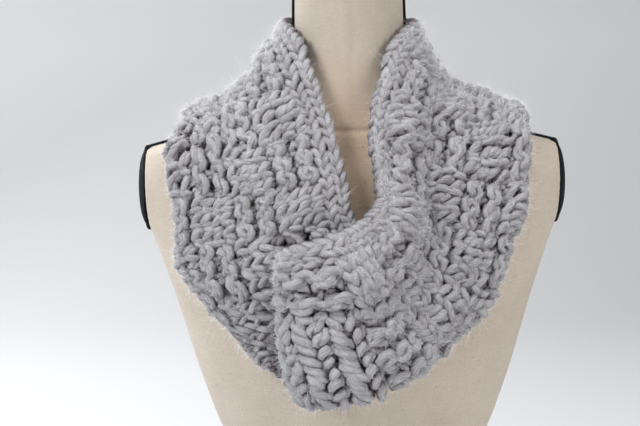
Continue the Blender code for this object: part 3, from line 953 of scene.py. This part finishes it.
def row_line(row):
    """The middle of one row's yarn: its place round the loop, down the rows and out of the cloth."""
    count = STITCHES * LOOP_POINTS
    stitch = np.repeat(np.arange(STITCHES), LOOP_POINTS)
    t = np.tile(np.arange(LOOP_POINTS) * 2 * pi / LOOP_POINTS, STITCHES)
    plain_here = is_plain(stitch, np.full(count, row))
    plain = smooth_round(plain_here.astype(float), BLOCK_EDGE_POINTS)
    waist, lean, reach = [p * plain + r * (1 - plain) for p, r in zip(PLAIN_LOOP, RIDGE_LOOP)]
    even = np.clip(EVEN_HALF_WIDTH - np.abs(stitch / STITCHES_IN_BLOCK - EVEN_MIDDLE), 0, 1) * plain
    waist = (waist + EVEN_WAIST * even) * (1 + wander(count, *WAIST_WANDER))
    lean = lean * (1 - even) + wander(count, *LEAN_WANDER) + wander(count, *PLAIN_LEAN_WANDER) * plain
    reach = reach * (1 + wander(count, *REACH_WANDER))
    x = stitch + t / (2 * pi) + waist * np.sin(2 * t) + lean * (1 + np.cos(t)) / 2
    x = x + wander(count, *ACROSS_WANDER)
    point = RIDGE_POINT * (1 - plain)
    y = row + 0.5 + reach * (np.cos(t) + point * np.cos(3 * t)) + wander(count, *DOWN_WANDER)
    ridge = row % 2 == BAND_ROWS % 2
    purl_here = ~plain_here & ridge
    purl_above = ~is_plain(stitch, np.full(count, row - 1)) & (not ridge)
    purl = smooth_round(np.where(np.cos(t) > 0, purl_here, purl_above).astype(float), PURL_EDGE_POINTS)
    z = LOOP_DEPTH * ((2 * purl - 1) * np.cos(2 * t) + purl * RIDGE_OUT)
    return (x / STITCHES_IN_BLOCK) % COLUMNS, y, z


def strands_of(u, y, z, spacing, radius, sides=(-1, 1)):
    """The strands of a yarn whose middle is given on the cloth, each with its radii, the way out of the
    cloth, and its heights."""
    press = pressed(u, y)
    # Yarn past the hem stands out as in the last row.
    line = on_cloth(u, y, z * press + puff(u, np.clip(y, 0, ROWS - 0.01)))
    out = look_up(lie_out, u, y)
    ahead = np.roll(line, -1, axis=0) - np.roll(line, 1, axis=0)
    beside = unit(np.cross(ahead, out))
    count = len(line)
    on_flap = np.clip(FLAP_REACH - np.abs(u - FLAP_MIDDLE), 0, 1)
    turns = np.cumsum(np.linalg.norm(ahead, axis=-1) / 2 / (PLY_LAY + (FLAP_LAY - PLY_LAY) * on_flap))
    twist = 2 * pi * turns * round(turns[-1]) / turns[-1]
    roll = (twist + wander(count, *TWIST_WANDER))[:, None]
    fatter = 1 + FLAP_FATTER * on_flap
    swell = SWELL * np.clip(z / LOOP_DEPTH, -1, 1)
    low, high = CORNER_HEIGHTS
    in_corner = (u > CORNER_COLUMNS[0]) & (u < CORNER_COLUMNS[1]) & (line[:, 2] > low) & (line[:, 2] < high)
    corner = in_corner * np.exp(-(((line[:, 0] - CORNER_X) / CORNER_SPREAD) ** 2))
    on_turn = np.exp(-(((u - FOLD_TURN) / FOLD_TURN_SPREAD) ** 2))
    pair = []
    for way in sides:
        offset = way * spacing * fatter[:, None] * (np.cos(roll) * beside + np.sin(roll) * out)
        drift = np.stack([wander(count, *DRIFT_WANDER) for _ in range(3)], axis=-1)
        thickness = radius * (1 + wander(count, *THICKNESS_WANDER) + swell) * (1 + press) / 2 * fatter
        # Painted shade: the heights that colour the wool are lower for yarn deep in the cloth and for the
        # lower ply.
        rise = z * press * RISE_SHARE + way * spacing * np.sin(roll[:, 0])
        # Painted highlight on the fold's turned edge, and painted shadow in the corner behind it.
        rise = rise - CORNER_SHADE * corner + FOLD_LIGHT * on_turn
        pair.append((line + offset + drift, thickness, out, rise))
    return pair


yarns = []
for row in range(BAND_ROWS, ROWS):
    u, y, z = row_line(row)
    for strand in strands_of(u, y, z, STRANDS_APART, STRAND):
        yarns.append((u, *strand))

# The hem ends in a chain: each loop lies along the edge and passes through the one before.
CHAIN_REACH = 0.62
CHAIN_HALF_WIDTH = 0.42
CHAIN_INSET = 0.15
CHAIN_DEPTH = 0.0026
CHAIN_APART = 0.0015
CHAIN_STRAND = 0.002754
CHAIN_POINTS = 20
count = STITCHES * CHAIN_POINTS
t = np.arange(count) * 2 * pi / CHAIN_POINTS
u = ((t / (2 * pi) - CHAIN_REACH * np.cos(t)) / STITCHES_IN_BLOCK) % COLUMNS
y = ROWS - CHAIN_INSET + CHAIN_HALF_WIDTH * np.sin(t)
for strand in strands_of(u, y, -CHAIN_DEPTH * np.cos(2 * t), CHAIN_APART, CHAIN_STRAND):
    yarns.append((u, *strand))

# The neck band is plaited: in its four cords the yarn coils, and shows in front as short plump strokes that
# slant to either side by turns.
BAND_CORDS = (0.08, 0.66, 1.26, 1.86)
CORD_STROKES = 102
CORD_POINTS = 14
CORD_STRAND = 0.0029
CORD_DEPTH = 0.0028
STROKE_REACH = 0.35
STROKE_REACH_WANDER = (20, 0.11)
STROKE_SLANT = 0.27
STROKE_SLANT_WANDER = (20, 0.2)
STROKE_DOWN_WANDER = (20, 0.05)
count = CORD_STROKES * CORD_POINTS
t = np.arange(count) * 2 * pi / CORD_POINTS
for middle, way in zip(BAND_CORDS, (1, -1, 1, -1)):
    x = t / (2 * pi) - STROKE_REACH * np.cos(t) + wander(count, *STROKE_REACH_WANDER)
    slant = STROKE_SLANT * (1 + wander(count, *STROKE_SLANT_WANDER))
    y = middle - way * slant * np.cos(t) + wander(count, *STROKE_DOWN_WANDER)
    u = (x / CORD_STROKES * COLUMNS) % COLUMNS
    for strand in strands_of(u, y, CORD_DEPTH * np.sin(t), 0.0, CORD_STRAND, (0,)):
        yarns.append((u, *strand))


def knitting(name, part):
    """All the strands within one stretch of the loop, cut off where it ends."""
    runs = []
    for u, *strand in yarns:
        inside = ((u - part.first) % COLUMNS) < (part.last - part.first)
        for start in np.flatnonzero(inside & ~np.roll(inside, 1)):
            length = np.argmin(np.roll(inside, -start))
            if length >= LEAST_POINTS:
                at = (start + np.arange(-1, length + 1)) % len(u)
                runs.append([values[at] for values in strand])
    made = tubes(name, *zip(*runs), YARN_SIDES, wool)
    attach(made, "root")
    return made


for name, part in STRETCHES.items():
    ground_wall = ground(f"ground_{name}", part)
    knit = knitting(f"knitting_{name}", part)
    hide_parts(f"scarf_{name}")
    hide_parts(f"scarf_{name}")


# -----------------------------------------------------------------------------
# The halo: loose fibres that stand out of the yarn all over, as on unspun wool. Most are short and straight,
# and a few are long and bend.
# -----------------------------------------------------------------------------

HAIR_WIDTH = 0.00018
HAIR_TAPER = 0.6
HAIR_DEPTH = 0.0085
HAIR_ROOT = 0.6
HAIR_LIFT = 0.9
HAIR_SCATTER = 0.6
HAIR_SIDEWAYS = 1.25
HALO_COLOUR = (0.93, 0.93, 0.95)

Fibres = namedtuple("Fibres", "counts length spread longest steps bend")
FUZZ = Fibres({"front": 76000, "back": 34000}, 0.0046, 0.32, 0.009, 1, 0.0)
STRAYS = Fibres({"front": 7000, "back": 5000}, 0.0055, 0.35, 0.012, 2, 0.9)

halo_wool, shade, shader = material("halo", Base_Color=(*HALO_COLOUR, 1.0), Roughness=0.9)
all_points = np.concatenate([yarn[1] for yarn in yarns])
all_out = np.concatenate([yarn[3] for yarn in yarns])
all_rises = np.concatenate([yarn[4] for yarn in yarns])
in_front = all_points[:, 1] < SET_BACK[1]


def fibres(kind, outer, count):
    """The points and quads of loose fibres, whose roots are drawn from the yarn's outer points."""
    # More of them start where the cloth faces sideways or up than where it faces the front or the back.
    chance = HAIR_SIDEWAYS - np.abs(all_out[outer, 1])
    picked = rng.choice(outer, count, p=chance / chance.sum())
    root = all_points[picked] + all_out[picked] * STRAND * HAIR_ROOT
    lift = all_out[picked] * rng.uniform(0.0, HAIR_LIFT, (count, 1))
    way = unit(lift + rng.standard_normal((count, 3)) * HAIR_SCATTER)
    bend = rng.standard_normal((count, 3)) * kind.bend
    length = np.minimum(rng.lognormal(np.log(kind.length), kind.spread, count), kind.longest)
    t = np.linspace(0, 1, kind.steps + 1)
    course = way[:, None] * t[:, None] + bend[:, None] * t[:, None] ** 2
    hair = root[:, None] + course * length[:, None, None]
    # The fibres lie down where they would stand far out of the front or the back.
    hair[..., 1] = np.clip(hair[..., 1], cad_box[0][1] - HAIR_DEPTH, cad_box[1][1] + HAIR_DEPTH)
    # Each fibre is a narrow ribbon that tapers to its tip.
    broad = unit(np.cross(np.gradient(hair, axis=1), rng.standard_normal((count, 1, 3))))
    half = HAIR_WIDTH / 2 * (1 - HAIR_TAPER * t)[:, None]
    ribbon = np.stack([hair - broad * half, hair + broad * half], axis=2)
    one = grid_quads(kind.steps + 1, 2).reshape(-1, 4)
    first = np.arange(count)[:, None, None] * (kind.steps + 1) * 2
    return ribbon.reshape(-1, 3), (first + one).reshape(-1, 4)


for side, chosen in (("front", in_front), ("back", ~in_front)):
    outer = np.flatnonzero((all_rises > 0) & chosen)
    fuzz, fuzz_quads = fibres(FUZZ, outer, FUZZ.counts[side])
    strays, stray_quads = fibres(STRAYS, outer, STRAYS.counts[side])
    quads = np.concatenate([fuzz_quads, stray_quads + len(fuzz)])
    halo = mesh_object(f"halo_{side}", np.concatenate([fuzz, strays]), quads, halo_wool)
    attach(halo, "root")


# -----------------------------------------------------------------------------
# Light: a broad window on the left, a weaker light from the right and one from above, a window far behind
# that catches the edges, and a little light on the card, all in a pale room.
# -----------------------------------------------------------------------------

CHEST = (0.0, 0.0, 0.48)

Lamp = namedtuple("Lamp", "name place aim size power colour")
LAMPS = [
    Lamp("window", (-1.5, -1.0, 1.6), CHEST, 0.9, 38.5, (0.97, 0.98, 1.0)),
    Lamp("room", (1.7, -1.5, 1.0), CHEST, 1.1, 25.0, (1.0, 0.98, 0.95)),
    Lamp("sky", (0.1, -0.2, 2.3), CHEST, 0.8, 17.0, (1.0, 1.0, 1.0)),
    Lamp("far window", (-1.2, 1.2, 1.5), CHEST, 0.9, 29.0, (0.98, 0.99, 1.0)),
    Lamp("wall", (-1.5, 1.4, 1.0), (-0.8, 3.2, 1.1), 0.8, 9.0, (1.0, 1.0, 1.0)),
]
for lamp in LAMPS:
    data = bpy.data.lights.new(lamp.name, "AREA")
    data.shape = "SQUARE"
    data.size = lamp.size
    data.energy = lamp.power
    data.color = lamp.colour
    made = bpy.data.objects.new(lamp.name, data)
    made.location = lamp.place
    made.rotation_euler = (Vector(lamp.aim) - Vector(lamp.place)).to_track_quat("-Z", "Y").to_euler()
    bpy.context.scene.collection.objects.link(made)

ROOM_LIGHT = (0.92, 0.93, 0.95)
ROOM_STRENGTH = 0.22
world = bpy.data.worlds.new("room")
world.use_nodes = True
background = world.node_tree.nodes["Background"]
background.inputs["Color"].default_value = (*ROOM_LIGHT, 1.0)
background.inputs["Strength"].default_value = ROOM_STRENGTH
bpy.context.scene.world = world
bpy.context.scene.view_settings.view_transform = "Standard"


# -----------------------------------------------------------------------------
# The camera: in front of the chest, looking down on it a little and turned a little on its own axis, with
# about 590 mm in view across the chest.
# -----------------------------------------------------------------------------

IMAGE_WIDTH = 640
SENSOR = 36.0
CAMERA_DISTANCE = 1.200
METRES_A_PIXEL = 0.00092
CAMERA_DROP = radians(8.0)
CAMERA_ROLL = radians(1.1)
CAMERA_AIM = Vector((-0.0294, SET_BACK[1], 0.4805))

looking = Vector((0.0, cos(CAMERA_DROP), -sin(CAMERA_DROP)))
level_up = Vector((0.0, sin(CAMERA_DROP), cos(CAMERA_DROP)))
level_right = Vector((1.0, 0.0, 0.0))
right = level_right * cos(CAMERA_ROLL) - level_up * sin(CAMERA_ROLL)
up = level_right * sin(CAMERA_ROLL) + level_up * cos(CAMERA_ROLL)
camera_data = bpy.data.cameras.new("camera")
camera_data.sensor_width = SENSOR
camera_data.lens = SENSOR * CAMERA_DISTANCE / (IMAGE_WIDTH * METRES_A_PIXEL)
camera = bpy.data.objects.new("camera", camera_data)
facing = Matrix((right, up, -looking)).transposed().to_4x4()
camera.matrix_world = Matrix.Translation(CAMERA_AIM - looking * CAMERA_DISTANCE) @ facing
bpy.context.scene.collection.objects.link(camera)
bpy.context.scene.camera = camera
